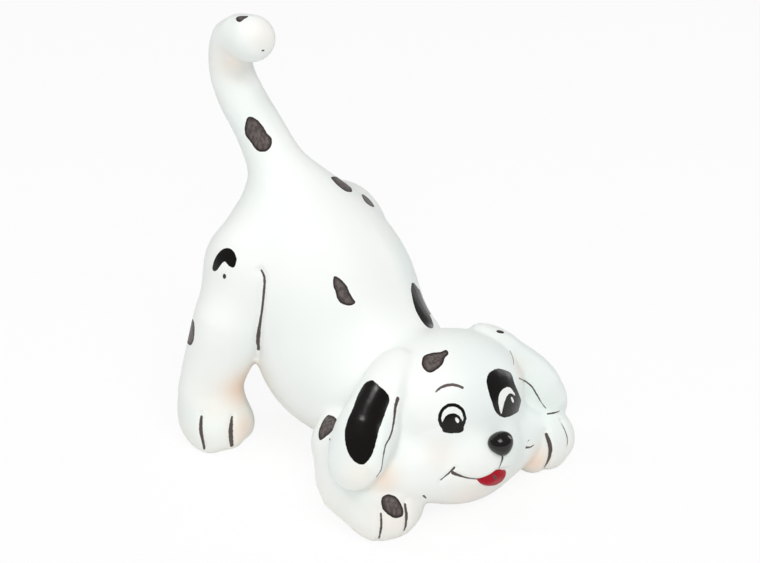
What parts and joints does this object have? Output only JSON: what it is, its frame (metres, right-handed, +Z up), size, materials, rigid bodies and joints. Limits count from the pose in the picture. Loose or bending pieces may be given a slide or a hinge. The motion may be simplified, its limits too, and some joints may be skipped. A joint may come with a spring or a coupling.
{
  "type": "bisque dog figurine",
  "caption": "Painted bisque puppy in a play bow: forelegs and chin on the table, rump high, tail upright with a hooked tip.",
  "frame": {"origin": "on the table, under the middle of the figure's overall box", "axes": "+Z up, nose towards -Y, the puppy's own left towards +X"},
  "size_m": [0.1156, 0.159, 0.1546],
  "materials": {
    "body_shell": "satin white acrylic over fired bisque",
    "head_shell": "satin white acrylic over fired bisque",
    "nose": "gloss black over fired bisque",
    "tail": "satin white acrylic over fired bisque",
    "right_ear": "satin white acrylic over fired bisque",
    "left_ear": "satin white acrylic over fired bisque",
    "right_hind_leg": "satin white acrylic over fired bisque",
    "left_hind_leg": "satin white acrylic over fired bisque",
    "right_front_leg": "satin white acrylic over fired bisque",
    "left_front_leg": "satin white acrylic over fired bisque"
  },
  "bodies": {
    "root": {"body_shell": "body_shell", "head_shell": "head_shell", "nose": "nose", "tail": "tail", "right_ear": "right_ear", "left_ear": "left_ear", "right_hind_leg": "right_hind_leg", "left_hind_leg": "left_hind_leg", "right_front_leg": "right_front_leg", "left_front_leg": "left_front_leg"}
  },
  "joints": []
}
